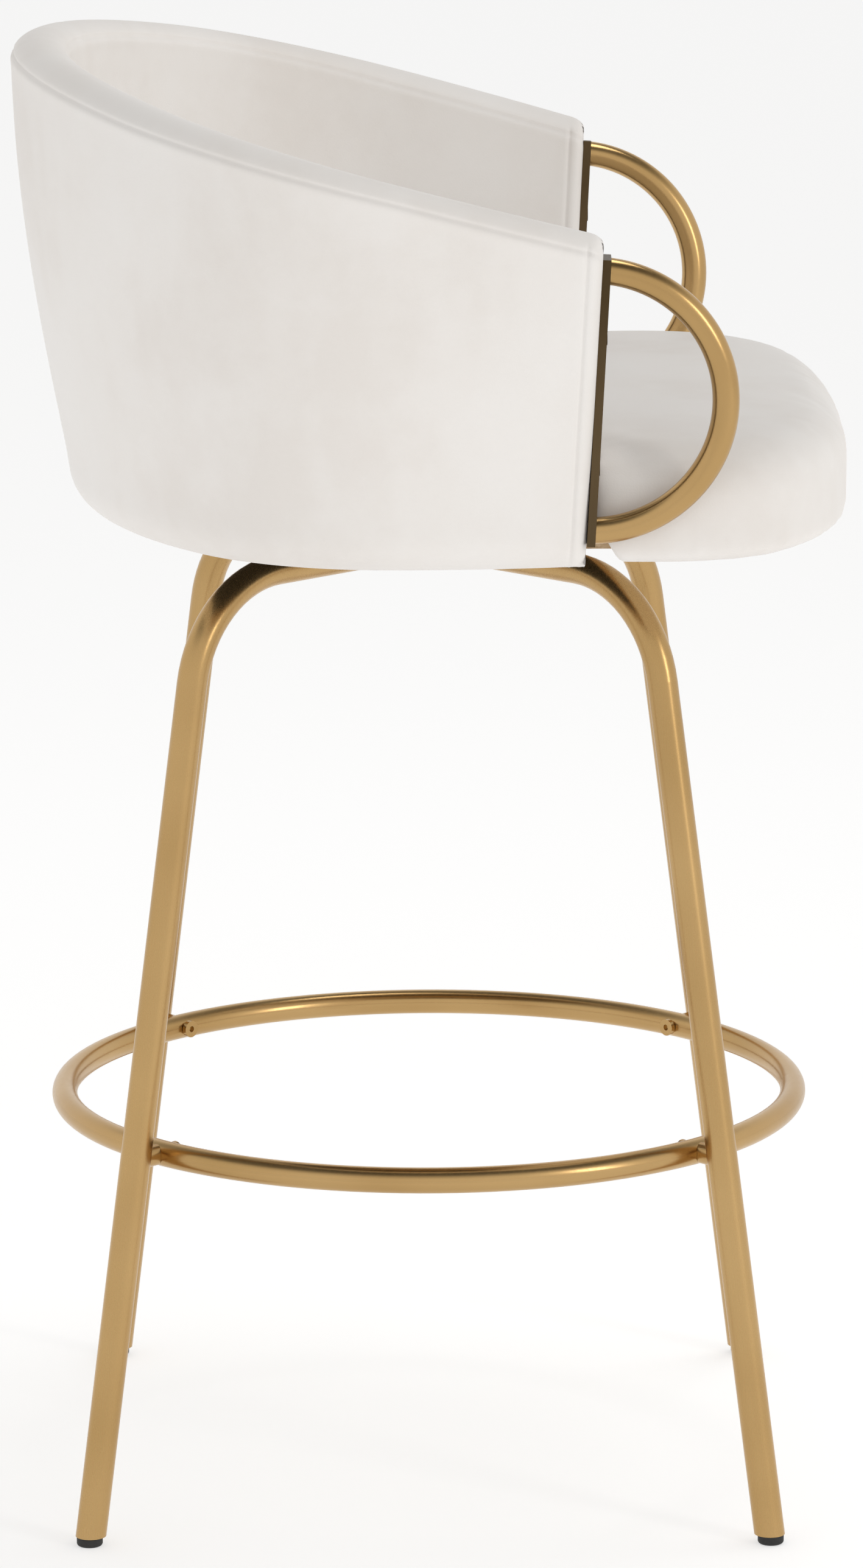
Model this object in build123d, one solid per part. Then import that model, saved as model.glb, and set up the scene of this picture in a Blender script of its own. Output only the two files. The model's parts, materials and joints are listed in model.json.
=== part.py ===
"""Bar stool with a round footrest, four splayed tube legs, a swivel under the seat,
a wrap-around padded back and half-moon arm loops.

Frame: millimetres, +Z up, the sitter faces -Y, origin on the floor on the swivel axis.
"""
from build123d import *
import math
import os

os.makedirs("parts", exist_ok=True)

# ---- driving dimensions: base ----
LEG_TUBE = 19.0            # outer diameter of the leg tubes
LEG_WALL = 1.5
FOOT_REACH = 299.0         # axis to leg centre line at the floor, along the diagonal
LEG_SLOPE = 0.1775         # inward run per unit of height
LEG_BEND = 75.0            # centre line radius of the bend under the seat
RUN_HEIGHT = 594.0         # centre height of the level runs under the seat
HUB_RADIUS = 26.0
HUB_HEIGHT = 19.0
HUB_WALL = 4.0
CAP_HEIGHT = 6.0           # visible rubber under each leg
CAP_PLUG = 22.0            # top of the plug inside the tube
CAP_EDGE = 2.0             # rounding of the rubber's lower edge
CAP_INSET = 1.4            # the rubber is this much narrower than the tube all round

RING_RADIUS = 233.4        # centre line of the footrest ring
RING_TUBE = 16.0
RING_WALL = 1.5
RING_HEIGHT = 239.3
SCREW_DIA = 6.0
SCREW_HEAD = (5.5, 3.0)    # radius, height
SOCKET_RADIUS = 2.0
RIVET_NUT = (4.4, 8.0)     # radius, reach into the leg
SADDLE = (6.5, 4.6)        # outer and inner radius of the washer between ring and leg
SCREW_ROOM = 0.2           # clearance round a screw in its hole
THREAD_ROOM = 0.05
FIT = 0.05                 # clearance between fitted pieces

FAR = 900.0                # larger than the stool, for cutting blocks

# ---- driving dimensions: swivel ----
HUB_PLATE = (140.0, 3.0)   # side, thickness
SWIVEL_PLATE = (140.0, 2.5)
RACE_GAP = 9.0
BALL_DIA = 8.0
BALL_COUNT = 18
BALL_CIRCLE = 42.0         # radius
BALL_ROOM = 0.1
RACE_LIP = (8.0, 3.2)      # half width and height of the pressed race
PLATE_CORNER = 12.0
PIVOT_DIA = 12.0
PIVOT_WALL = 2.5
PIVOT_FLANGES = (3.0, 4.0, 2.2, 2.0)     # lower and upper reach, lower and upper thickness
BASE_BOLT_RADIUS = 60.0    # bolts between the level runs
SEAT_BOLT_PITCH = 112.0
BOLT_DIA = 6.0
BOLT_ROOM = 0.3
HEX_ACROSS = 10.0          # across the flats of bolt heads and nuts
BASE_HEAD, SEAT_HEAD, NUT_HEIGHT = 3.0, 4.0, 5.0
TEE_NUT = (4.4, 11.0, 9.0, 1.5)          # barrel radius and length, flange radius and thickness

# ---- driving dimensions: seat shell ----
SHELL_BACK = 224.0         # Y of the back surface at the bottom
SHELL_HALF_WIDTH = 285.0   # at the bottom
BACK_ARC = (367.0, 36.0)   # radius and half angle of the back at the bottom
FRONT_ARC = 580.0          # radius of the nearly straight sides
SHELL_BOTTOM = 624.0
SHELL_LEAN = (650.0, 920.0, 34.0)    # curves outward from one height to the other, by so much
LEAN_STEPS = 6             # flat bands that make up the curve
SHELL_TOP = 945.0          # above the rim, where the uncut walls end
SHELL_REACH = -330.0       # ahead of the front, where the uncut walls end
BOTTOM_ROLL = 24.0         # rounding of the lower outer edge
RIM_AT_CENTRE = 855.4      # rim height above the swivel axis
RIM_SLOPE = 0.262          # rise towards the back
FRONT_FACE = -94.0         # Y of the wooden front edges at arm height
FRONT_LEAN = 3.0           # degrees, the front edges lean forward at the top
FRONT_PAD = 6.0
COVER = 6.0                # padded outer cover
CORE = 12.0                # bent plywood
INNER_PAD = 18.0
RIM_ROLL = 16.0            # height of the padded roll on the rim
POST = (14.0, 30.0)        # hardwood posts in the front edges: across the wall, along it
POST_BELOW_ROLL = 4.0
SHELL_SCREW = (2.2, 4.6, 34.0, 3.0)      # shank radius, head radius, length, head height

# ---- driving dimensions: seat ----
SPACER = (160.0, 9.0)      # side, thickness
BOARD_THICK = 15.0
BOARD_FRONT = (222.0, -238.0, 80.0)      # half width, front edge and corner radius ahead of the shell
BOARD_GAP = 0.15           # between the board and the bent plywood around it
DUST_COVER = 0.8           # thickness
DUST_PLAN = (200.0, -100.0, 180.0, 120.0)      # half width, front, back, rear corner radius
CUSHION_TOP = 691.0
CUSHION_BOTTOM = 625.0
CUSHION_FRONT = (256.0, -264.0, -106.0)    # half width, front and rear Y of the wide front part
CUSHION_ARCS = (900.0, 95.0, 20.0)         # radii of the front, the front corners and the rear corners
CUSHION_ROLLS = (24.0, 9.0, 14.0)          # rounding of the front top, the front bottom and the rear top
CUSHION_GAP = 1.5                          # between the cushion and the inner pad
REAR_SEAT_FRONT = -150.0                   # where the part between the walls runs into the front part

# ---- driving dimensions: arms ----
ARM_TUBE = 16.2
ARM_WALL = 1.5
ARM_RADIUS = 79.5
ARM_CENTRE = (272.0, -98.5, 727.4)
ARM_LEAN = 5.0             # degrees, loops lean outward at the top
ARM_BAR = (16.2, 5.0)      # width and thickness of the flat bar
ARM_BOLT_SPREAD = 40.0     # above and below the loop centre
ARM_BOLT = (3.0, 5.6, 34.0, 3.2)         # shank radius, head radius, length, head height


# ================= helpers =================
def save(node, shape):
    export_step(shape, f"parts/{node}.step")


def group(solids):
    """Keep separate solids together in one node."""
    return Compound(children=list(solids))


def cylinder_between(start, end, radius):
    a, b = Vector(*start), Vector(*end)
    return Solid.make_cylinder(radius, (b - a).length, Plane(origin=a, z_dir=b - a))


def tube_along(path, outer, wall):
    """Round tube swept along a path of lines and arcs."""
    start = Plane(origin=path @ 0, z_dir=path % 0)
    skin = sweep(start * Circle(outer / 2), path=path)
    bore = sweep(start * Circle(outer / 2 - wall), path=path)
    return skin - bore


def box_between(low, high):
    size = [b - a for a, b in zip(low, high)]
    return Pos(*[(a + b) / 2 for a, b in zip(low, high)]) * Box(*size)


def disc(radius, z_low, z_high, x=0, y=0):
    return Pos(x, y, (z_low + z_high) / 2) * Cylinder(radius, z_high - z_low)


def bore(body, spots, radius, z_low, z_high):
    for x, y in spots:
        body -= disc(radius, z_low, z_high, x, y)
    return body


# ================= base =================
leg_angle = math.atan(LEG_SLOPE)
diagonals = {"front_left": (1, -1), "front_right": (-1, -1), "back_left": (1, 1), "back_right": (-1, 1)}


def leg_plane(side_x, side_y):
    """Upright plane through the swivel axis and one corner, local X outward, local Y up."""
    outward = Vector(side_x, side_y, 0).normalized()
    return Plane(origin=(0, 0, 0), x_dir=outward, z_dir=outward.cross(Vector(0, 0, 1)))


def leg_radius_at(z):
    return FOOT_REACH - LEG_SLOPE * z


def leg_path(plane, foot_z):
    """From the foot up the straight leg, round the bend and level in to the axis."""
    knee = leg_radius_at(RUN_HEIGHT)
    setback = LEG_BEND * math.tan((math.pi / 2 - leg_angle) / 2)
    arc_low = (knee + setback * math.sin(leg_angle), RUN_HEIGHT - setback * math.cos(leg_angle))
    arc_high = (knee - setback, RUN_HEIGHT)
    foot = (leg_radius_at(foot_z), foot_z)
    spots = [plane.from_local_coords((x, y, 0)) for x, y in (foot, arc_low, arc_high, (0, RUN_HEIGHT))]
    leg = Line(spots[0], spots[1])
    bend = TangentArc(spots[1], spots[2], tangent=leg % 1)
    run = Line(spots[2], spots[3])
    return Wire([leg.edge(), bend.edge(), run.edge()])


hub = disc(HUB_RADIUS, RUN_HEIGHT - HUB_HEIGHT / 2, RUN_HEIGHT + HUB_HEIGHT / 2)
hub -= disc(HUB_RADIUS - HUB_WALL, RUN_HEIGHT - HUB_HEIGHT, RUN_HEIGHT + HUB_HEIGHT)
save("leg_hub", hub)

leg_inner = leg_radius_at(RING_HEIGHT) - LEG_TUBE / 2 / math.cos(leg_angle)
ring_inner = RING_RADIUS - RING_TUBE / 2


def radial(plane, start, end, radius):
    """Level cylinder at the ring's height, between two distances from the swivel axis."""
    ends = [plane.from_local_coords((reach, RING_HEIGHT, 0)) for reach in (start, end)]
    return cylinder_between(*ends, radius)


def leg_cylinder(plane, z_start, z_end, radius):
    """Cylinder on a leg's sloping centre line, between two heights."""
    ends = [plane.from_local_coords((leg_radius_at(z), z, 0)) for z in (z_start, z_end)]
    return cylinder_between(*ends, radius)


def leg_tube(plane):
    """Cut level above the rubber, round against the hub and drilled for the rivet nut."""
    leg = tube_along(leg_path(plane, -30), LEG_TUBE, LEG_WALL)
    leg -= Pos(0, 0, CAP_HEIGHT - FAR / 2) * Box(FAR, FAR, FAR)
    leg -= disc(HUB_RADIUS, RUN_HEIGHT - LEG_TUBE, RUN_HEIGHT + LEG_TUBE)
    return leg - radial(plane, leg_inner - 5, leg_inner + 5, RIVET_NUT[0] + 0.1)


def foot_cap(plane):
    """Rubber plug inside the tube and a round pad under it."""
    plug = leg_cylinder(plane, -12, CAP_PLUG, LEG_TUBE / 2 - LEG_WALL)
    plug -= Pos(0, 0, CAP_HEIGHT - 1 - FAR / 2) * Box(FAR, FAR, FAR)
    foot = plane.from_local_coords((leg_radius_at(0), 0, 0))
    pad = disc(LEG_TUBE / 2 - CAP_INSET, 0, CAP_HEIGHT, foot.X, foot.Y)
    return fillet(pad.edges().group_by(Axis.Z)[0], CAP_EDGE) + plug


def ring_screw(plane):
    """Button head screw through the ring into the leg."""
    head_radius, head_height = SCREW_HEAD
    seat = ring_inner - 0.4
    screw = radial(plane, seat, leg_inner + 9, SCREW_DIA / 2)
    screw += radial(plane, seat - head_height, seat, head_radius)
    return (screw - radial(plane, seat - head_height, seat - 1.2, SOCKET_RADIUS)).solid()


def rivet_nut(plane):
    nut_radius, reach = RIVET_NUT
    nut = radial(plane, leg_inner + 0.3, leg_inner + reach, nut_radius)
    return (nut - radial(plane, leg_inner - 2, leg_inner + reach + 2, SCREW_DIA / 2 + THREAD_ROOM)).solid()


def saddle_washer(plane):
    """Short sleeve between the ring and the leg, hollowed to fit both."""
    outer, inner = SADDLE
    saddle = radial(plane, RING_RADIUS + 4, leg_inner + 4, outer)
    saddle -= radial(plane, RING_RADIUS + 2, leg_inner + 6, inner)
    saddle -= Solid.make_torus(RING_RADIUS, RING_TUBE / 2 + FIT, Plane.XY.offset(RING_HEIGHT))
    saddle -= leg_cylinder(plane, RING_HEIGHT - 100, RING_HEIGHT + 100, LEG_TUBE / 2 + FIT)
    return saddle.solid()


planes = {corner: leg_plane(*sides) for corner, sides in diagonals.items()}
for corner, plane in planes.items():
    save(f"leg_{corner}", leg_tube(plane))
    save(f"foot_cap_{corner}", foot_cap(plane))
save("footrest_screws", group(ring_screw(plane) for plane in planes.values()))
save("footrest_rivet_nuts", group(rivet_nut(plane) for plane in planes.values()))
save("footrest_saddles", group(saddle_washer(plane) for plane in planes.values()))

# the ring is rolled tube in four quarters, each drilled in its middle for a leg's screw
ring_section = Plane.XZ * Pos(RING_RADIUS, RING_HEIGHT) * (
    Circle(RING_TUBE / 2) - Circle(RING_TUBE / 2 - RING_WALL)
)
quarters = []
for turn, corner in enumerate(("back_left", "back_right", "front_right", "front_left")):
    quarter = Rot(0, 0, 90 * turn) * revolve(ring_section, axis=Axis.Z, revolution_arc=90)
    hole = radial(planes[corner], ring_inner - 6, leg_inner + 2, SCREW_DIA / 2 + SCREW_ROOM)
    quarters.append(quarter - hole)
save("footrest_ring", quarters[0] + quarters[1] + quarters[2] + quarters[3])

# ================= swivel =================
tube_top = RUN_HEIGHT + LEG_TUBE / 2
hub_side, hub_thick = HUB_PLATE
swivel_side, swivel_thick = SWIVEL_PLATE
spacer_side, spacer_thick = SPACER
lower_z = tube_top + hub_thick
race_z = lower_z + swivel_thick
upper_z = race_z + RACE_GAP
spacer_z = upper_z + swivel_thick
board_z = spacer_z + spacer_thick
board_top = board_z + BOARD_THICK
ball_z = race_z + RACE_GAP / 2
bolt_hole = BOLT_DIA / 2 + BOLT_ROOM


def plate(side, z_low, thick):
    body = Pos(0, 0, z_low + thick / 2) * Box(side, side, thick)
    return fillet(body.edges().filter_by(Axis.Z), PLATE_CORNER)


base_bolt_spots = [(BASE_BOLT_RADIUS * x, BASE_BOLT_RADIUS * y) for x, y in ((1, 0), (-1, 0), (0, 1), (0, -1))]
seat_bolt_spots = [(SEAT_BOLT_PITCH / 2 * x, SEAT_BOLT_PITCH / 2 * y) for x in (-1, 1) for y in (-1, 1)]

base_plate = plate(hub_side, tube_top, hub_thick)
base_plate -= disc(PIVOT_DIA / 2 + 4, tube_top - 1, lower_z + 1)
save("base_plate", bore(base_plate, base_bolt_spots, bolt_hole, tube_top - 1, lower_z + 1))

# pressed plates with half of the ball groove in each
lip_half, lip_height = RACE_LIP
groove = revolve(Plane.XZ * Pos(BALL_CIRCLE, ball_z) * Circle(BALL_DIA / 2 + BALL_ROOM), axis=Axis.Z)

lower_plate = plate(swivel_side, lower_z, swivel_thick)
lower_plate += disc(BALL_CIRCLE + lip_half, race_z - 0.01, race_z + lip_height)
lower_plate -= disc(BALL_CIRCLE - lip_half, race_z, race_z + lip_height + 1)
lower_plate -= groove
lower_plate -= disc(PIVOT_DIA / 2 + FIT, lower_z - 1, race_z + 1)
save("swivel_lower_plate", bore(lower_plate, base_bolt_spots, bolt_hole, lower_z - 1, race_z + 1))

upper_plate = plate(swivel_side, upper_z, swivel_thick)
upper_plate += disc(BALL_CIRCLE + lip_half, upper_z - lip_height, upper_z + 0.01)
upper_plate -= disc(BALL_CIRCLE - lip_half, upper_z - lip_height - 1, upper_z)
upper_plate -= groove
upper_plate -= disc(PIVOT_DIA / 2 + BOLT_ROOM, upper_z - 1, spacer_z + 1)
save("swivel_upper_plate", bore(upper_plate, seat_bolt_spots, bolt_hole, upper_z - 1, spacer_z + 1))

ball = Pos(BALL_CIRCLE, 0, ball_z) * Sphere(BALL_DIA / 2)
balls = [Rot(0, 0, 360 * i / BALL_COUNT) * ball for i in range(BALL_COUNT)]
save("swivel_balls", group(ball.solid() for ball in balls))

# hollow rivet that holds the two plates together and lets the upper one turn
low_reach, high_reach, low_thick, high_thick = PIVOT_FLANGES
pivot_top = spacer_z + 0.4 + high_thick
pivot = disc(PIVOT_DIA / 2, lower_z - low_thick, pivot_top)
pivot += disc(PIVOT_DIA / 2 + low_reach, lower_z - low_thick, lower_z)
pivot += disc(PIVOT_DIA / 2 + high_reach, spacer_z + 0.4, pivot_top)
save("swivel_pivot", pivot - disc(PIVOT_DIA / 2 - PIVOT_WALL, lower_z - 3, pivot_top + 1))


def hexagon(x, y, z_low, height):
    outline = RegularPolygon(HEX_ACROSS / 2, 6, major_radius=False)
    return Pos(x, y, z_low) * extrude(outline, height, dir=(0, 0, 1))


def base_bolt(x, y):
    """Head on top of the lower swivel plate, tip below the base plate."""
    return (hexagon(x, y, race_z, BASE_HEAD) + disc(BOLT_DIA / 2, tube_top - 8, race_z, x, y)).solid()


def base_nut(x, y):
    nut = hexagon(x, y, tube_top - NUT_HEIGHT - 0.2, NUT_HEIGHT)
    return (nut - disc(BOLT_DIA / 2 + THREAD_ROOM, tube_top - 8, tube_top + 1, x, y)).solid()


def seat_bolt(x, y):
    """Head under the upper swivel plate, tip in the tee nut."""
    shank = disc(BOLT_DIA / 2, upper_z, board_top - 3, x, y)
    return (hexagon(x, y, upper_z - SEAT_HEAD, SEAT_HEAD) + shank).solid()


save("base_bolts", group(base_bolt(x, y) for x, y in base_bolt_spots))
save("base_nuts", group(base_nut(x, y) for x, y in base_bolt_spots))
save("seat_bolts", group(seat_bolt(x, y) for x, y in seat_bolt_spots))

# ================= seat shell =================
def plan_arcs(offset):
    """Arcs of the shell's plan, moved outward by offset: back and corner joints, corner centre, radii."""
    radius, half_angle = BACK_ARC[0] + offset, math.radians(BACK_ARC[1])
    side_x = SHELL_HALF_WIDTH + offset
    joint_x = radius * math.sin(half_angle)
    joint_y = SHELL_BACK + offset - radius * (1 - math.cos(half_angle))
    corner_radius = (side_x - joint_x) / (1 - math.sin(half_angle))
    centre_x, centre_y = side_x - corner_radius, joint_y - corner_radius * math.cos(half_angle)
    return side_x, (joint_x, joint_y), (centre_x, centre_y), corner_radius


def outline(offset, z, front=SHELL_REACH):
    """Plan of the shell surface: back arc, two corner arcs, two long side arcs."""
    side_x, (joint_x, joint_y), (centre_x, centre_y), corner_radius = plan_arcs(offset)
    side_radius = FRONT_ARC + offset

    def flank(y):
        return side_x - side_radius + math.sqrt(side_radius ** 2 - (centre_y - y) ** 2)

    middle = math.radians(45 + BACK_ARC[1] / 2)
    bulge_x = centre_x + corner_radius * math.sin(middle)
    bulge_y = centre_y + corner_radius * math.cos(middle)
    half_y = (centre_y + front) / 2
    arcs = [((-joint_x, joint_y), (0, SHELL_BACK + offset), (joint_x, joint_y))]
    for sign in (1, -1):
        arcs.append(((sign * joint_x, joint_y), (sign * bulge_x, bulge_y), (sign * side_x, centre_y)))
        arcs.append(((sign * side_x, centre_y), (sign * flank(half_y), half_y), (sign * flank(front), front)))
    edges = [Edge.make_three_point_arc(*[(x, y, z) for x, y in arc]) for arc in arcs]
    edges.append(Edge.make_line((-flank(front), front, z), (flank(front), front, z)))
    return Face(Wire(edges))


def lean_offset(z):
    """How far the shell surface has curved outward at a height."""
    lean_low, lean_high, growth = SHELL_LEAN
    return growth * math.sin(math.pi / 2 * (z - lean_low) / (lean_high - lean_low))


def shell_block(inset, bottom, roll=0.0):
    """Everything inside the shell surface at the given inset, from bottom up."""
    lean_low, lean_high, growth = SHELL_LEAN
    low = extrude(outline(-inset, bottom), lean_low - bottom, dir=(0, 0, 1))
    if roll:
        low = fillet(low.edges().group_by(Axis.Z)[0], roll)
    levels = [lean_low + (lean_high - lean_low) * i / LEAN_STEPS for i in range(LEAN_STEPS + 1)]
    middle = loft([outline(lean_offset(z) - inset, z) for z in levels], ruled=True)
    top = extrude(outline(growth - inset, lean_high), SHELL_TOP - lean_high, dir=(0, 0, 1))
    return low + middle + top


def above_rim(drop):
    """Everything above the sloping rim, lowered by drop."""
    slope = Vector(0, -RIM_SLOPE, 1).normalized()
    rim = Plane(origin=(0, 0, RIM_AT_CENTRE - drop), x_dir=(1, 0, 0), z_dir=slope)
    return rim * Pos(0, 0, FAR / 2) * Box(2 * FAR, 2 * FAR, FAR)


def before_front(y):
    """Everything in front of the leaning front face, whose y is given at arm height."""
    lean = math.radians(FRONT_LEAN)
    face = Plane(origin=(0, y, ARM_CENTRE[2]), x_dir=(1, 0, 0), z_dir=(0, -math.cos(lean), -math.sin(lean)))
    return face * Pos(0, 0, FAR / 2) * Box(2 * FAR, 2 * FAR, FAR)


def wall(outer_inset, inner_inset, bottom, rim_drop, front_y=FRONT_FACE, roll=0.0):
    """Wrap-around wall between two insets, open at the front."""
    body = shell_block(outer_inset, bottom, roll) - shell_block(inner_inset, bottom - 0.01)
    return body - above_rim(rim_drop) - before_front(front_y)


core_in = COVER + CORE
pad_in = core_in + INNER_PAD
post_across, post_along = POST
whole = wall(0, pad_in, SHELL_BOTTOM, 0, FRONT_FACE - FRONT_PAD, BOTTOM_ROLL)
core = wall(COVER, core_in, board_z, RIM_ROLL, roll=BOTTOM_ROLL - COVER)
cover = wall(0, COVER, SHELL_BOTTOM, RIM_ROLL, roll=BOTTOM_ROLL) - core
front_pads = whole & before_front(FRONT_FACE)
rim_roll = (whole & above_rim(RIM_ROLL)) - before_front(FRONT_FACE)
posts = wall(core_in, core_in + post_across, board_top, RIM_ROLL + POST_BELOW_ROLL)
posts &= before_front(FRONT_FACE + post_along)
inner_pad = wall(core_in, pad_in, board_top, RIM_ROLL) - posts

# ================= arms =================
arm_x, arm_y, arm_z = ARM_CENTRE
bar_width, bar_thick = ARM_BAR
bar_face = FRONT_FACE - FRONT_PAD
arm_lean, front_lean = math.radians(ARM_LEAN), math.radians(FRONT_LEAN)


def arm_loop(sign):
    """Half ring of tube, cut to lie against the flat bar."""
    up = Vector(sign * math.sin(arm_lean), 0, math.cos(arm_lean)) * ARM_RADIUS
    centre = Vector(sign * arm_x, arm_y, arm_z)
    arc = Wire([Edge.make_three_point_arc(centre + up, centre + Vector(0, -ARM_RADIUS, 0), centre - up)])
    section = Plane(origin=centre + up, z_dir=(0, -1, 0))
    tube = sweep(section * Circle(ARM_TUBE / 2), path=arc)
    tube -= sweep(section * Circle(ARM_TUBE / 2 - ARM_WALL), path=arc)
    return tube & before_front(bar_face - bar_thick - FIT)


def bar_frame(sign):
    """Plane on the bar's back, local X forward and local Z up along the bar."""
    along = Vector(sign * math.sin(arm_lean), -math.tan(front_lean) * math.cos(arm_lean), math.cos(arm_lean))
    return Plane(origin=(sign * arm_x, bar_face, arm_z), x_dir=(0, -1, 0), z_dir=along.normalized())


def arm_bar(sign):
    strip = Box(bar_thick, bar_width, 2 * ARM_RADIUS + ARM_TUBE)
    return bar_frame(sign) * Pos(bar_thick / 2, 0, 0) * strip & before_front(bar_face)


def arm_bolt(sign, height):
    """Countersunk bolt through the bar into the post, as (bolt, the space it takes)."""
    shank_radius, head_radius, length, head_height = ARM_BOLT
    start = bar_frame(sign).from_local_coords((bar_thick + 0.3, 0, height))
    inward = Plane(origin=start, z_dir=(0, 1, 0))
    body = Solid.make_cylinder(shank_radius, length, inward)
    body += Solid.make_cone(head_radius, shank_radius, head_height, inward)
    return (body - Solid.make_cylinder(SOCKET_RADIUS, 2.2, inward)).solid(), body


arm_bolts = []
for side, sign in (("left", 1), ("right", -1)):
    save(f"arm_loop_{side}", arm_loop(sign))
    bar = arm_bar(sign)
    for height in (ARM_BOLT_SPREAD, -ARM_BOLT_SPREAD):
        bolt, space = arm_bolt(sign, height)
        arm_bolts.append(bolt)
        bar -= space
        core -= space
        posts -= space
        front_pads -= space
        inner_pad -= space
    save(f"arm_bar_{side}", bar)
save("arm_bolts", group(arm_bolts))

# ================= seat boards =================
def rounded_front(half_width, front, rear, front_radius, corner_radius, z, height):
    """Block with an arched front edge and large front corners."""
    corner_x = half_width - corner_radius
    centre_y = front + front_radius
    corner_y = centre_y - math.sqrt((front_radius - corner_radius) ** 2 - corner_x ** 2)
    turn = math.asin(corner_x / (front_radius - corner_radius))
    middle = (turn + math.pi / 2) / 2
    joint = (front_radius * math.sin(turn), centre_y - front_radius * math.cos(turn))
    bulge = (corner_x + corner_radius * math.sin(middle), corner_y - corner_radius * math.cos(middle))
    edges = [Edge.make_three_point_arc((-joint[0], joint[1], z), (0, front, z), (joint[0], joint[1], z))]
    for sign in (1, -1):
        arc = [(sign * x, y, z) for x, y in (joint, bulge, (half_width, corner_y))]
        edges.append(Edge.make_three_point_arc(*arc))
        edges.append(Edge.make_line(arc[-1], (sign * half_width, rear, z)))
    edges.append(Edge.make_line((-half_width, rear, z), (half_width, rear, z)))
    return extrude(Face(Wire(edges)), height, dir=(0, 0, 1))


board_half, board_front, board_corner = BOARD_FRONT
cushion_half, cushion_front, cushion_rear = CUSHION_FRONT
front_radius, front_corner, rear_corner = CUSHION_ARCS
shell_front = FRONT_FACE + 13      # where the board inside the shell ends and its front part begins
front_board = rounded_front(
    board_half, board_front, shell_front + 10, front_radius, board_corner, board_z, BOARD_THICK
)
board = extrude(outline(-core_in - BOARD_GAP, board_z, front=shell_front), BOARD_THICK, dir=(0, 0, 1))
board += front_board


def shell_screw(out, skin):
    """Wood screw through the bent plywood into the edge of the board, head against the cover."""
    shank_radius, head_radius, length, head_height = SHELL_SCREW
    start = Vector(*skin, board_z + BOARD_THICK / 2) - Vector(*out, 0) * (COVER + 0.5)
    inward = Plane(origin=start, z_dir=(-out[0], -out[1], 0))
    screw = Solid.make_cylinder(shank_radius, length, inward)
    return (screw + Solid.make_cone(head_radius, shank_radius, head_height, inward)).solid()


_, _, (centre_x, centre_y), corner_radius = plan_arcs(0)
shell_screws = [shell_screw((0, 1), (0, SHELL_BACK))]
for sign in (1, -1):
    for angle in (math.radians(45 + BACK_ARC[1] / 2), math.pi / 2):
        out = (sign * math.sin(angle), math.cos(angle))
        skin = (sign * centre_x + corner_radius * out[0], centre_y + corner_radius * out[1])
        shell_screws.append(shell_screw(out, skin))
for screw in shell_screws:
    core -= screw
    board -= screw
save("shell_screws", group(shell_screws))

barrel_radius, barrel_length, flange_radius, flange_thick = TEE_NUT
tee_nuts = []
for x, y in seat_bolt_spots:
    nut = disc(barrel_radius, board_top - barrel_length, board_top, x, y)
    nut += disc(flange_radius, board_top - flange_thick, board_top, x, y)
    board -= nut
    tee_nuts.append((nut - disc(BOLT_DIA / 2 + THREAD_ROOM, board_z, board_top + 1, x, y)).solid())
save("seat_tee_nuts", group(tee_nuts))
save("seat_board", bore(board, seat_bolt_spots, bolt_hole, board_z - 1, board_top + 1))

spacer = plate(spacer_side, spacer_z, spacer_thick) - disc(PIVOT_DIA / 2 + 6, spacer_z - 1, board_z + 1)
save("spacer_board", bore(spacer, seat_bolt_spots, bolt_hole, spacer_z - 1, board_z + 1))

dust_half, dust_front, dust_back, dust_corner = DUST_PLAN
dust = box_between((-dust_half, dust_front, board_z - DUST_COVER), (dust_half, dust_back, board_z))
dust = fillet(dust.edges().filter_by(Axis.Z).group_by(Axis.Y)[-1], dust_corner)
save("dust_cover", dust - Pos(0, 0, board_z) * Box(spacer_side + 1, spacer_side + 1, 20))

# ================= cushion =================
front_top_roll, front_low_roll, rear_roll = CUSHION_ROLLS
rear_plan = outline(-pad_in - CUSHION_GAP, board_top, front=REAR_SEAT_FRONT)
rear_seat = extrude(rear_plan, CUSHION_TOP - board_top, dir=(0, 0, 1))
rear_seat = fillet(rear_seat.edges().group_by(Axis.Z)[-1], rear_roll)
cushion_thick = CUSHION_TOP - CUSHION_BOTTOM
front_seat = rounded_front(
    cushion_half, cushion_front, cushion_rear, front_radius, front_corner, CUSHION_BOTTOM, cushion_thick
)
front_seat = fillet(front_seat.edges().filter_by(Axis.Z).group_by(Axis.Y)[-1], rear_corner)
front_seat = fillet(front_seat.edges().group_by(Axis.Z)[-1], front_top_roll - 8)
front_seat = fillet(front_seat.edges().group_by(Axis.Z)[0], front_low_roll)
cushion = rear_seat + front_seat
cushion -= extrude(outline(-core_in, board_z - 20, front=shell_front), BOARD_THICK + 20, dir=(0, 0, 1))
save("seat_cushion", cushion - front_board)

# ================= shell pieces, drilled and cut above =================
save("shell_core", core)
save("outer_cover", cover)
save("inner_pad", inner_pad)
save("rim_roll", rim_roll)
for solid in front_pads.solids():
    save("front_edge_pad_" + ("left" if solid.center().X > 0 else "right"), solid)
for solid in posts.solids():
    save("front_post_" + ("left" if solid.center().X > 0 else "right"), solid)
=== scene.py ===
"""Looks for the bar stool: upholstered shell and cushion, satin gold tubes, swivel hardware.

Everything is in metres in the CAD frame: +Z up, the sitter faces -Y, the camera stands on the -X side.
"""
import json
import math

import bmesh
import bpy
from mathutils import Matrix, Vector


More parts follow.
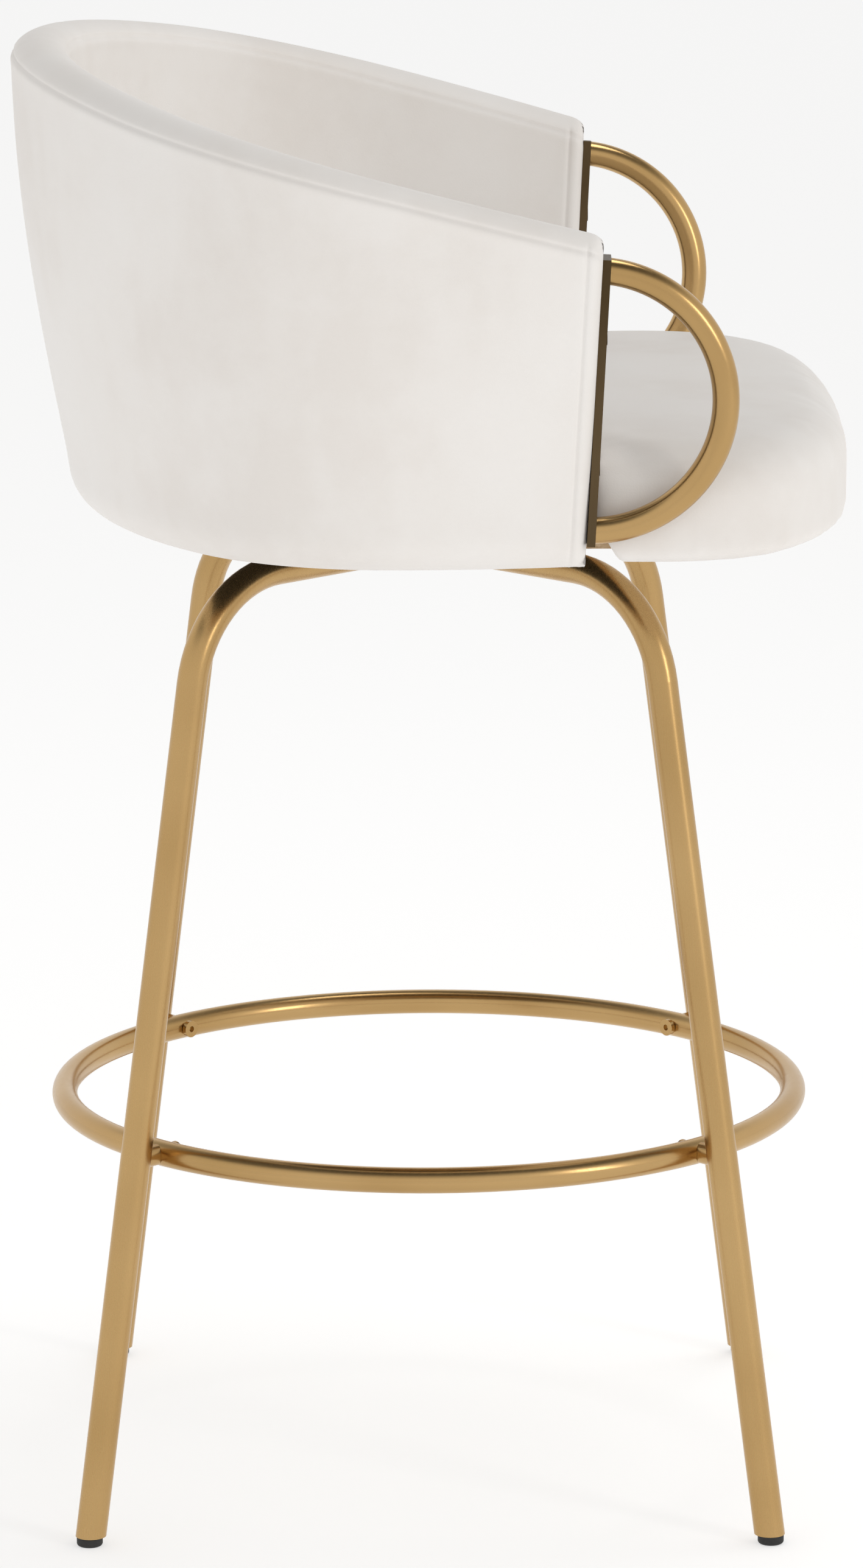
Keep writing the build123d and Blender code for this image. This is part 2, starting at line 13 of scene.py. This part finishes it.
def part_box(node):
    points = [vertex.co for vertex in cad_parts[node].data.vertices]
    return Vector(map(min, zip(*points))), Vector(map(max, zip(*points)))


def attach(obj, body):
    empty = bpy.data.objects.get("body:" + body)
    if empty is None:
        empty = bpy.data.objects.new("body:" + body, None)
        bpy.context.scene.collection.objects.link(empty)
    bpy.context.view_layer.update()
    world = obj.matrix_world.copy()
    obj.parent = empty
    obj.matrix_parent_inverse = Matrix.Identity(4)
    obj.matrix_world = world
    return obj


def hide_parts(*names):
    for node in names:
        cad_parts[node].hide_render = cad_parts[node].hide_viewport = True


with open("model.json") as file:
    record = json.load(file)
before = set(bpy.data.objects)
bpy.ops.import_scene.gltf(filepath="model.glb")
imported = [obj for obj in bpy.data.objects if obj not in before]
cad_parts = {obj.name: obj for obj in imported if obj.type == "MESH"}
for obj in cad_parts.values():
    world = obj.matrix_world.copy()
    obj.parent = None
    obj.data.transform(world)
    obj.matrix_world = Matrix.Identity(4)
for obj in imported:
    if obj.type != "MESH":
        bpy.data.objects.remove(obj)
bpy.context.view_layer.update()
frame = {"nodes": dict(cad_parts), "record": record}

# ---- shell geometry, as designed ----
BACK_Y, BACK_RADIUS, BACK_HALF_ANGLE = 0.224, 0.367, math.radians(36)
HALF_WIDTH, SIDE_RADIUS = 0.285, 0.580
SHELL_BOTTOM, BOTTOM_ROLL = 0.624, 0.0245
LEAN_FROM, LEAN_TO, LEAN = 0.648, 0.920, 0.034
LEAN_EASE = 0.010          # softens the start of the lean
WALL = 0.036
RIM_AT_CENTRE, RIM_SLOPE = 0.8554, 0.262
FRONT_FACE, FRONT_LEAN = -0.0999, math.tan(math.radians(3))
ARM_HEIGHT = 0.7274
RIM_RISE = 0.014           # height of the rounded rim
FRONT_ROUND = 0.008        # rounding of the front edges
SEAM_BELOW_RIM = 0.0095
SEAM_BEHIND_FRONT = 0.0095
SEAM_REACH = 0.030         # a seam is worked out only this near the edge it follows
OUTER_PUFF, INNER_PUFF = 0.0004, 0.005
BOARD_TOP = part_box("seat_board")[1].z


# ================= materials =================
def new_material(name):
    material = bpy.data.materials.new(name)
    material.use_nodes = True
    tree = material.node_tree
    return material, tree, tree.nodes["Principled BSDF"]


def add(tree, kind, **values):
    node = tree.nodes.new(kind)
    for key, value in values.items():
        if key in node.inputs:
            node.inputs[key].default_value = value
        else:
            setattr(node, key, value)
    return node


def object_coords(tree, scale=(1, 1, 1)):
    coords = add(tree, "ShaderNodeTexCoord")
    mapping = add(tree, "ShaderNodeMapping", Scale=scale)
    tree.links.new(coords.outputs["Object"], mapping.inputs["Vector"])
    return mapping.outputs["Vector"]


def noise_texture(tree, vector, scale, detail=3.0, roughness=0.5, distortion=0.0):
    node = add(
        tree, "ShaderNodeTexNoise", Scale=scale, Detail=detail, Roughness=roughness, Distortion=distortion
    )
    tree.links.new(vector, node.inputs["Vector"])
    return node.outputs["Fac"]


def colour_ramp(tree, factor, stops):
    ramp = add(tree, "ShaderNodeValToRGB")
    elements = ramp.color_ramp.elements
    while len(elements) < len(stops):
        elements.new(0.5)
    for element, (position, colour) in zip(elements, stops):
        element.position = position
        element.color = (*colour, 1)
    tree.links.new(factor, ramp.inputs["Fac"])
    return ramp.outputs["Color"]


def map_range(tree, value, low, high, to_low, to_high):
    node = add(tree, "ShaderNodeMapRange")
    for name, number in zip(("From Min", "From Max", "To Min", "To Max"), (low, high, to_low, to_high)):
        node.inputs[name].default_value = number
    tree.links.new(value, node.inputs["Value"])
    return node.outputs["Result"]


def bump(tree, shader, *heights):
    """Stack of (height socket, strength, distance) bumps."""
    normal = None
    for height, strength, distance in heights:
        node = add(tree, "ShaderNodeBump", Strength=strength, Distance=distance)
        tree.links.new(height, node.inputs["Height"])
        if normal is not None:
            tree.links.new(normal, node.inputs["Normal"])
        normal = node.outputs["Normal"]
    tree.links.new(normal, shader.inputs["Normal"])


def gold_material(name, streaks, tones, rough):
    """Satin plating with fine brush marks along the given direction and soft tone changes."""
    material, tree, shader = new_material(name)
    shader.inputs["Metallic"].default_value = 1.0
    brushed = noise_texture(tree, object_coords(tree, streaks), 1.0, detail=4)
    cloudy = noise_texture(tree, object_coords(tree), 9.0, detail=2)
    colour = colour_ramp(tree, cloudy, [(0.3, tones[0]), (0.5, tones[1]), (0.7, tones[2])])
    tree.links.new(colour, shader.inputs["Base Color"])
    tree.links.new(map_range(tree, brushed, 0.3, 0.7, rough - 0.02, rough + 0.03), shader.inputs["Roughness"])
    bump(tree, shader, (brushed, 0.04, 0.0002))
    return material


def upholstery_material():
    """Cream fine-grained covering with faint warm and cool clouding."""
    material, tree, shader = new_material("cream_upholstery")
    coords = object_coords(tree)
    clouds = noise_texture(tree, coords, 7.0, detail=3, roughness=0.55)
    nap = noise_texture(tree, coords, 55.0, detail=3)
    mixed = add(tree, "ShaderNodeMath", operation="MULTIPLY_ADD")
    tree.links.new(nap, mixed.inputs[0])
    mixed.inputs[1].default_value = 0.25
    tree.links.new(clouds, mixed.inputs[2])
    colour = colour_ramp(
        tree,
        mixed.outputs[0],
        [(0.45, (0.790, 0.750, 0.712)), (0.62, (0.825, 0.792, 0.760)), (0.80, (0.840, 0.812, 0.784))],
    )
    tree.links.new(colour, shader.inputs["Base Color"])
    grain = add(tree, "ShaderNodeTexVoronoi", Scale=1100.0, feature="SMOOTH_F1")
    tree.links.new(coords, grain.inputs["Vector"])
    fibres = noise_texture(tree, coords, 2400.0, detail=2)
    tree.links.new(map_range(tree, nap, 0.3, 0.7, 0.52, 0.62), shader.inputs["Roughness"])
    shader.inputs["Sheen Weight"].default_value = 0.12
    shader.inputs["Sheen Roughness"].default_value = 0.5
    shader.inputs["Specular IOR Level"].default_value = 0.35
    bump(
        tree,
        shader,
        (grain.outputs["Distance"], 0.25, 0.0002),
        (fibres, 0.15, 0.0001),
        (clouds, 0.08, 0.002),
    )
    return material


def rubber_material():
    material, tree, shader = new_material("black_rubber")
    coords = object_coords(tree)
    speckle = noise_texture(tree, coords, 900.0, detail=3)
    colour = colour_ramp(tree, speckle, [(0.35, (0.010, 0.010, 0.010)), (0.7, (0.028, 0.027, 0.026))])
    tree.links.new(colour, shader.inputs["Base Color"])
    tree.links.new(map_range(tree, speckle, 0.3, 0.7, 0.6, 0.8), shader.inputs["Roughness"])
    bump(tree, shader, (speckle, 0.3, 0.0003))
    return material


def zinc_material():
    material, tree, shader = new_material("zinc_steel")
    shader.inputs["Metallic"].default_value = 1.0
    coords = object_coords(tree)
    spangle = add(tree, "ShaderNodeTexVoronoi", Scale=160.0)
    tree.links.new(coords, spangle.inputs["Vector"])
    grey = colour_ramp(tree, spangle.outputs["Color"], [(0.1, (0.46, 0.47, 0.47)), (0.9, (0.66, 0.66, 0.64))])
    tree.links.new(grey, shader.inputs["Base Color"])
    scratches = noise_texture(tree, object_coords(tree, (900, 60, 60)), 1.0, detail=3)
    tree.links.new(map_range(tree, scratches, 0.3, 0.7, 0.28, 0.45), shader.inputs["Roughness"])
    bump(tree, shader, (scratches, 0.1, 0.0002))
    return material


def plywood_material():
    material, tree, shader = new_material("plywood")
    grain = add(tree, "ShaderNodeTexNoise", Scale=1.0, Detail=5.0, Distortion=0.6)
    tree.links.new(object_coords(tree, (16, 220, 500)), grain.inputs["Vector"])
    colour = colour_ramp(
        tree,
        grain.outputs["Fac"],
        [(0.3, (0.36, 0.23, 0.12)), (0.5, (0.50, 0.35, 0.20)), (0.7, (0.58, 0.43, 0.27))],
    )
    tree.links.new(colour, shader.inputs["Base Color"])
    shader.inputs["Roughness"].default_value = 0.7
    bump(tree, shader, (grain.outputs["Fac"], 0.3, 0.0004))
    return material


def dust_cloth_material():
    """Black spun-bonded cloth with its embossed dot pattern."""
    material, tree, shader = new_material("dust_cloth")
    coords = object_coords(tree)
    dots = add(tree, "ShaderNodeTexVoronoi", Scale=420.0, Randomness=0.15)
    tree.links.new(coords, dots.inputs["Vector"])
    fuzz = noise_texture(tree, coords, 900.0, detail=4)
    colour = colour_ramp(tree, fuzz, [(0.3, (0.012, 0.012, 0.013)), (0.7, (0.040, 0.039, 0.040))])
    tree.links.new(colour, shader.inputs["Base Color"])
    shader.inputs["Roughness"].default_value = 0.9
    bump(tree, shader, (dots.outputs["Distance"], 0.5, 0.0004), (fuzz, 0.3, 0.0002))
    return material


GOLD = [(0.45, 0.285, 0.115), (0.49, 0.315, 0.133), (0.53, 0.348, 0.152)]
# The arm bars are gold-plated like the tubes; these dark brown tones are painted shade and painted dark
# reflection on the bars.
PAINTED_SHADE_BAR_TONES = [(0.075, 0.050, 0.024), (0.100, 0.068, 0.035), (0.130, 0.090, 0.048)]
gold_upright = gold_material("satin_gold_upright", (700, 700, 18), GOLD, 0.27)
gold_round = gold_material("satin_gold_round", (420, 420, 420), GOLD, 0.24)
gold_bar_painted_dark = gold_material("gold_bar_with_painted_shade", (500, 500, 20), PAINTED_SHADE_BAR_TONES, 0.38)
upholstery = upholstery_material()
rubber = rubber_material()
zinc = zinc_material()
plywood = plywood_material()
dust_cloth = dust_cloth_material()

slot_of = {part["node"]: part["material_slot"] for part in frame["record"]["subparts"]}
by_slot = {
    "gold_tube": gold_round,
    "gold_fastener": gold_round,
    "zinc_steel": zinc,
    "foot_rubber": rubber,
    "plywood": plywood,
    "dust_cloth": dust_cloth,
    "upholstery": upholstery,
}
for node, thing in frame["nodes"].items():
    finish = by_slot[slot_of[node]]
    if node.startswith("leg_") and node != "leg_hub":
        finish = gold_upright
    # The arm bars get the gold finish darkened with painted shade and painted reflection.
    if node.startswith("arm_bar"):
        finish = gold_bar_painted_dark
    thing.data.materials.clear()
    thing.data.materials.append(finish)


# ================= mesh helpers =================
def mesh_object(name, bm, material, smooth=True):
    bmesh.ops.recalc_face_normals(bm, faces=bm.faces)
    mesh = bpy.data.meshes.new(name)
    bm.to_mesh(mesh)
    bm.free()
    thing = bpy.data.objects.new(name, mesh)
    bpy.context.scene.collection.objects.link(thing)
    mesh.materials.append(material)
    for polygon in mesh.polygons:
        polygon.use_smooth = smooth
    return thing


def apply_modifiers(thing):
    bpy.context.view_layer.update()
    depsgraph = bpy.context.evaluated_depsgraph_get()
    mesh = bpy.data.meshes.new_from_object(thing.evaluated_get(depsgraph))
    old = thing.data
    thing.modifiers.clear()
    thing.data = mesh
    bpy.data.meshes.remove(old)


def smoothstep(low, high, value):
    t = min(1.0, max(0.0, (value - low) / (high - low)))
    return t * t * (3 - 2 * t)


def dent(distance, width):
    return math.exp(-((distance / width) ** 2))


# ================= shell plan =================
CORNER_X = BACK_RADIUS * math.sin(BACK_HALF_ANGLE)
CORNER_Y = BACK_Y - BACK_RADIUS * (1 - math.cos(BACK_HALF_ANGLE))
CORNER_RADIUS = (HALF_WIDTH - CORNER_X) / (1 - math.sin(BACK_HALF_ANGLE))
CORNER_CENTRE = (HALF_WIDTH - CORNER_RADIUS, CORNER_Y - CORNER_RADIUS * math.cos(BACK_HALF_ANGLE))


def side_point(side, offset, behind_front, height):
    """Point and outward direction on the long side arc, a distance behind the front edge."""
    radius = SIDE_RADIUS + offset
    front = FRONT_FACE - (height - ARM_HEIGHT) * FRONT_LEAN
    angle = math.asin((CORNER_CENTRE[1] - front) / radius) - behind_front / radius
    x = HALF_WIDTH - SIDE_RADIUS + radius * math.cos(angle)
    spot = Vector((side * x, CORNER_CENTRE[1] - radius * math.sin(angle)))
    return spot, Vector((side * math.cos(angle), -math.sin(angle)))


def side_length(offset, height):
    front = FRONT_FACE - (height - ARM_HEIGHT) * FRONT_LEAN
    return (SIDE_RADIUS + offset) * math.asin((CORNER_CENTRE[1] - front) / (SIDE_RADIUS + offset))


def corner_point(side, offset, share):
    """share runs from 0 at the side to 1 at the back arc."""
    angle = math.pi / 2 - share * (math.pi / 2 - BACK_HALF_ANGLE)
    out = Vector((side * math.sin(angle), math.cos(angle)))
    centre = Vector((side * CORNER_CENTRE[0], CORNER_CENTRE[1]))
    return centre + out * (CORNER_RADIUS + offset), out


def back_point(offset, share):
    """share runs from -1 on the right to 1 on the left."""
    angle = share * BACK_HALF_ANGLE
    out = Vector((math.sin(angle), math.cos(angle)))
    return Vector((0, BACK_Y - BACK_RADIUS)) + out * (BACK_RADIUS + offset), out


def plan_columns():
    """Columns from the right front edge round the back to the left front edge."""
    front_steps = [FRONT_ROUND * (1 - math.cos(math.radians(a))) for a in (0, 18, 36, 54, 72, 90)]
    front_steps += [SEAM_BEHIND_FRONT + d for d in (-0.0009, 0, 0.0009, 0.002, 0.0035, 0.006)]
    columns = [("side", -1, step, 0) for step in front_steps]
    columns += [("side", -1, None, share) for share in (i / 16 for i in range(1, 16))]
    columns += [("corner", -1, None, i / 20) for i in range(21)]
    columns += [("back", 1, None, -1 + i / 16) for i in range(1, 32)]
    columns += [("corner", 1, None, 1 - i / 20) for i in range(21)]
    columns += [("side", 1, None, share) for share in (1 - i / 16 for i in range(1, 16))]
    columns += [("side", 1, step, 0) for step in reversed(front_steps)]
    return columns


def lean_at(z):
    above = z - LEAN_FROM
    eased = (above + math.hypot(above, LEAN_EASE)) / 2
    return LEAN * math.sin(math.pi / 2 * min(1.0, eased / (LEAN_TO - LEAN_FROM)))


def wall_point(column, inset, z):
    """Point on the wall, inset from its outer face, with the distance behind the front edge."""
    kind, side, behind, share = column
    offset = lean_at(z) - inset
    if kind == "corner":
        spot, out = corner_point(side, offset, share)
        return spot, out, 1.0
    if kind == "back":
        spot, out = back_point(offset, share)
        return spot, out, 1.0
    length = side_length(offset, z)
    start = SEAM_BEHIND_FRONT + 0.006
    distance = behind if behind is not None else start + (length - start) * share
    spot, out = side_point(side, offset, distance, z)
    return spot, out, distance


def rim_height(column):
    spot, _, _ = wall_point(column, WALL / 2, 0.86)
    return RIM_AT_CENTRE + RIM_SLOPE * spot.y


# ================= upholstered shell =================
def seam(distance, depth=0.0011, width=0.0011):
    """Stitched groove with the cover puffed a little on each side."""
    return -depth * dent(distance, width) + 0.25 * depth * dent(abs(distance) - 0.004, 0.003)


def shell_mesh():
    bm = bmesh.new()
    columns = plan_columns()
    rings = []
    for column in columns:
        crest = rim_height(column)
        _, _, behind = wall_point(column, 0, 0.75)
        front_inset = 0.0
        if behind < FRONT_ROUND:
            front_inset = FRONT_ROUND - math.sqrt(FRONT_ROUND ** 2 - (FRONT_ROUND - behind) ** 2)
        crest -= 0.6 * front_inset
        ring = []

        def place(inset, z, puff=0.0, below=1.0):
            towards_outer = 1 if inset < WALL / 2 else -1
            groove = seam(below - SEAM_BELOW_RIM) if below < SEAM_REACH else 0.0
            if behind < SEAM_REACH:
                groove += seam(behind - SEAM_BEHIND_FRONT) * smoothstep(0.003, 0.009, below)
            shifted = inset + towards_outer * (front_inset - puff - groove)
            if abs(inset - WALL / 2) < front_inset:
                shifted = inset
            spot, out, _ = wall_point(column, shifted, z)
            ring.append(bm.verts.new((spot.x, spot.y, z)))

        # outer face, from the underside up
        place(BOTTOM_ROLL + 0.008, SHELL_BOTTOM + 0.0018)
        place(BOTTOM_ROLL + 0.004, SHELL_BOTTOM + 0.0005)
        for step in range(9):
            turn = math.radians(90 * step / 8)
            place(BOTTOM_ROLL * (1 - math.sin(turn)), SHELL_BOTTOM + BOTTOM_ROLL * (1 - math.cos(turn)))
        low, high = SHELL_BOTTOM + BOTTOM_ROLL, crest - 0.040
        for step in range(1, 23):
            share = step / 22
            place(0.0, low + (high - low) * share, puff=OUTER_PUFF * math.sin(math.pi * share))
        for below in (0.034, 0.028, 0.023, 0.019, 0.016):
            place(0.0, crest - below, below=below)
        rim_turns = [90 - a for a in (0, 6, 12, 18, 24, 28, 31, 34, 37, 41, 47, 55, 64, 74, 84)]
        for turn in rim_turns:
            t = math.radians(turn)
            below = RIM_RISE * (1 - math.cos(t))
            place(WALL / 2 * (1 - math.sin(t)), crest - below, below=below)
        place(WALL / 2, crest, below=0.0)
        for turn in reversed(rim_turns):
            t = math.radians(turn)
            below = RIM_RISE * (1 - math.cos(t))
            place(WALL - WALL / 2 * (1 - math.sin(t)), crest - below, below=below)
        for below in (0.016, 0.019, 0.023, 0.028, 0.034):
            place(WALL, crest - below, below=below)
        floor = BOARD_TOP + 0.002
        for step in range(22, 0, -1):
            share = step / 22
            puff = INNER_PUFF * math.sin(math.pi * share) * smoothstep(0, 0.05, behind)
            place(WALL, floor + (high - floor) * share, puff=puff)
        place(WALL, floor)
        place(WALL, SHELL_BOTTOM + 0.0045)
        rings.append(ring)
    count = len(rings[0])
    for first, second in zip(rings, rings[1:]):
        for i in range(count):
            j = (i + 1) % count
            bm.faces.new((first[i], first[j], second[j], second[i]))
    for ring in (rings[0], rings[-1]):
        low, high = 0, count - 1
        while high - low > 2:
            bm.faces.new((ring[low], ring[low + 1], ring[high - 1], ring[high]))
            low, high = low + 1, high - 1
        if high - low == 2:
            bm.faces.new((ring[low], ring[low + 1], ring[high]))
    return bm


shell = mesh_object("shell_upholstery", shell_mesh(), upholstery)
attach(shell, "seat")
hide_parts("outer_cover", "inner_pad", "rim_roll", "front_edge_pad_left", "front_edge_pad_right")

# ================= cushion =================
CUSHION_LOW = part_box("seat_cushion")[0]
CUSHION_CENTRE_Y = -0.130
CUSHION_HALF = 0.2575      # widest, just ahead of the shell
CUSHION_SQUARE = 2.8       # exponent of the rounded front
NIP_Y = -0.100             # where the shell's front edges nip the cushion
CUSHION_TOP = 0.6915
EDGE_ROLL = (0.034, 0.027)    # across and down, rounding of the front part's top edge
REAR_ROLL = 0.016             # rounding where the cushion meets the shell
LOW_ROLL = 0.006
CROWN = 0.004                 # height of the middle above the rolled edge
DRAW_BACK = 0.0030            # drawn this far past the front, which the cloth pulls back


def cushion_edge(angle):
    """Distance from the widest line's middle to the cushion's edge in a direction, angle 0 along +X."""
    out = Vector((math.cos(angle), math.sin(angle)))
    if out.y < 0:
        front = CUSHION_CENTRE_Y - CUSHION_LOW.y + DRAW_BACK
        across, along = abs(out.x) / CUSHION_HALF, abs(out.y) / front
        return (across ** CUSHION_SQUARE + along ** CUSHION_SQUARE) ** (-1 / CUSHION_SQUARE)
    low, high = 0.05, 0.6
    for _ in range(30):
        middle = (low + high) / 2
        spot = Vector((0, CUSHION_CENTRE_Y)) + out * middle
        ease = 1 - smoothstep(NIP_Y - 0.012, NIP_Y + 0.002, spot.y)
        inside = inside_wall(spot, WALL + 0.0025) or (abs(spot.x) < CUSHION_HALF and spot.y < NIP_Y - 0.003)
        if inside or (ease > 0 and abs(spot.x) < CUSHION_HALF * ease):
            low = middle
        else:
            high = middle
    return low


def inside_wall(spot, inset):
    """Whether a plan point is within the inner face of the wall at seat height."""
    x, y = abs(spot.x), spot.y
    offset = -inset
    if y < CORNER_CENTRE[1]:
        return math.hypot(x - (HALF_WIDTH - SIDE_RADIUS), y - CORNER_CENTRE[1]) < SIDE_RADIUS + offset
    angle = math.atan2(x - CORNER_CENTRE[0], y - CORNER_CENTRE[1])
    if x > CORNER_CENTRE[0] and angle > BACK_HALF_ANGLE:
        return math.hypot(x - CORNER_CENTRE[0], y - CORNER_CENTRE[1]) < CORNER_RADIUS + offset
    return math.hypot(x, y - (BACK_Y - BACK_RADIUS)) < BACK_RADIUS + offset


def cushion_mesh():
    """Closed body drawn as loops round the plan: underside, lower roll, side, upper roll, crown."""
    bm = bmesh.new()
    count = 180
    angles = [2 * math.pi * i / count for i in range(count)]
    reach = [cushion_edge(a) for a in angles]
    rolls = []
    for angle, length in zip(angles, reach):
        front = 1 - smoothstep(-0.125, -0.085, CUSHION_CENTRE_Y + math.sin(angle) * length)
        across, down = (REAR_ROLL + (size - REAR_ROLL) * front for size in EDGE_ROLL)
        rolls.append((across, down))
    rings = []

    def loop(inset, z):
        ring = []
        for i, angle in enumerate(angles):
            length = reach[i] - inset(i)
            spot = (math.cos(angle) * length, CUSHION_CENTRE_Y + math.sin(angle) * length, z(i))
            ring.append(bm.verts.new(spot))
        rings.append(ring)

    low = CUSHION_LOW.z + 0.0005
    for share in (0.04, 0.35, 0.7):
        loop(lambda i: reach[i] * (1 - share), lambda i: low)
    for step in range(7):
        turn = math.radians(90 * step / 6)
        loop(lambda i: LOW_ROLL * (1 - math.sin(turn)), lambda i: low + LOW_ROLL * (1 - math.cos(turn)))
    for step in range(11):
        turn = math.radians(90 * step / 10)
        loop(
            lambda i: rolls[i][0] * (1 - math.cos(turn)),
            lambda i: CUSHION_TOP - rolls[i][1] * (1 - math.sin(turn)),
        )
    for share in (0.85, 0.7, 0.5, 0.3, 0.12, 0.03):
        loop(
            lambda i: reach[i] - (reach[i] - rolls[i][0]) * share,
            lambda i: CUSHION_TOP + CROWN * (1 - share ** 2),
        )
    for first, second in zip(rings, rings[1:]):
        for i in range(count):
            j = (i + 1) % count
            bm.faces.new((first[i], first[j], second[j], second[i]))
    bm.faces.new(rings[0][::-1])
    bm.faces.new(rings[-1])
    return bm


def voxel_remesh(thing, size):
    remesh = thing.modifiers.new("remesh", "REMESH")
    remesh.mode = "VOXEL"
    remesh.voxel_size = size
    apply_modifiers(thing)


def inflate(thing, pressure, cap):
    """Swell a closed piece as cloth under pressure, moving no point further than cap."""
    scene = bpy.context.scene
    before = [v.co.copy() for v in thing.data.vertices]
    settings = thing.modifiers.new("cloth", "CLOTH").settings
    settings.use_pressure = True
    settings.uniform_pressure_force = pressure
    settings.tension_stiffness = settings.compression_stiffness = 25
    settings.bending_stiffness = 1.5
    settings.effector_weights.gravity = 0
    for number in range(1, 21):
        scene.frame_set(number)
    apply_modifiers(thing)
    for vertex, start in zip(thing.data.vertices, before):
        move = vertex.co - start
        if move.length > cap:
            vertex.co = start + move * (cap / move.length)
    scene.frame_set(1)


def rest_on_board(thing):
    """Behind its front part the cushion ends on the seat board."""
    low = CUSHION_LOW.z
    for vertex in thing.data.vertices:
        floor = low + (BOARD_TOP + 0.001 - low) * smoothstep(-0.116, -0.104, vertex.co.y)
        vertex.co.z = max(vertex.co.z, floor)
    bm = bmesh.new()
    bm.from_mesh(thing.data)
    bmesh.ops.remove_doubles(bm, verts=bm.verts, dist=0.0008)
    bmesh.ops.dissolve_degenerate(bm, edges=bm.edges, dist=0.0004)
    bm.to_mesh(thing.data)
    bm.free()


cushion = mesh_object("cushion", cushion_mesh(), upholstery)
voxel_remesh(cushion, 0.005)
inflate(cushion, pressure=4.0, cap=0.005)
rest_on_board(cushion)
for polygon in cushion.data.polygons:
    polygon.use_smooth = True
subdivision = cushion.modifiers.new("subdivision", "SUBSURF")
subdivision.levels = subdivision.render_levels = 1
apply_modifiers(cushion)
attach(cushion, "seat")
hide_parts("seat_cushion")


# ================= stage, light and camera =================
def area_light(name, place, target, size, power, colour=(1, 1, 1)):
    data = bpy.data.lights.new(name, "AREA")
    data.shape = "RECTANGLE"
    data.size, data.size_y = size
    data.energy = power
    data.color = colour
    light = bpy.data.objects.new(name, data)
    light.location = place
    light.rotation_euler = (Vector(target) - Vector(place)).to_track_quat("-Z", "Y").to_euler()
    bpy.context.scene.collection.objects.link(light)


def make_stage():
    material, tree, shader = new_material("pale_floor")
    shader.inputs["Base Color"].default_value = (0.75, 0.75, 0.75, 1)
    shader.inputs["Roughness"].default_value = 0.9
    shader.inputs["Specular IOR Level"].default_value = 0.1
    shader.inputs["Emission Color"].default_value = (1, 1, 1, 1)
    shader.inputs["Emission Strength"].default_value = 0.5
    bm = bmesh.new()
    bmesh.ops.create_grid(bm, x_segments=8, y_segments=8, size=30)
    floor = mesh_object("floor", bm, material)


def make_camera():
    """Stands on the sitter's right, a little above the stool, looking slightly down."""
    pitch, roll = 0.2082, 0.0035
    forward = Vector((math.cos(pitch), 0, -math.sin(pitch)))
    right = Vector((0, -1, 0))
    down = forward.cross(right)
    level_right = right * math.cos(roll) + down * math.sin(roll)
    level_up = -(down * math.cos(roll) - right * math.sin(roll))
    data = bpy.data.cameras.new("camera")
    data.sensor_width = 36
    data.lens = 172.8
    data.clip_end = 100
    camera = bpy.data.objects.new("camera", data)
    rotation = Matrix((level_right, level_up, -forward)).transposed()
    camera.matrix_world = Matrix.Translation((-4.690, -0.0024, 1.4288)) @ rotation.to_4x4()
    bpy.context.scene.collection.objects.link(camera)
    bpy.context.scene.camera = camera


def make_world():
    """Bright all round at eye level, dark overhead."""
    world = bpy.data.worlds.new("studio")
    bpy.context.scene.world = world
    world.use_nodes = True
    tree = world.node_tree
    coords = add(tree, "ShaderNodeTexCoord")
    split = add(tree, "ShaderNodeSeparateXYZ")
    tree.links.new(coords.outputs["Generated"], split.inputs["Vector"])
    sky = colour_ramp(
        tree,
        split.outputs["Z"],
        [
            (0.0, (1.0, 0.995, 0.985)),
            (0.55, (0.96, 0.955, 0.94)),
            (0.80, (0.22, 0.22, 0.22)),
            (1.0, (0.07, 0.07, 0.07)),
        ],
    )
    background = tree.nodes["Background"]
    tree.links.new(sky, background.inputs["Color"])
    background.inputs["Strength"].default_value = 1.0


make_stage()
make_world()
make_camera()
area_light("top_softbox", (0.5, -0.5, 3.2), (0, 0, 0.6), (1.0, 1.0), 14)
area_light("front_softbox", (-2.6, -3.2, 1.9), (0, 0, 0.6), (0.7, 1.6), 19, (1, 0.98, 0.95))
bpy.context.scene.view_settings.view_transform = "Standard"
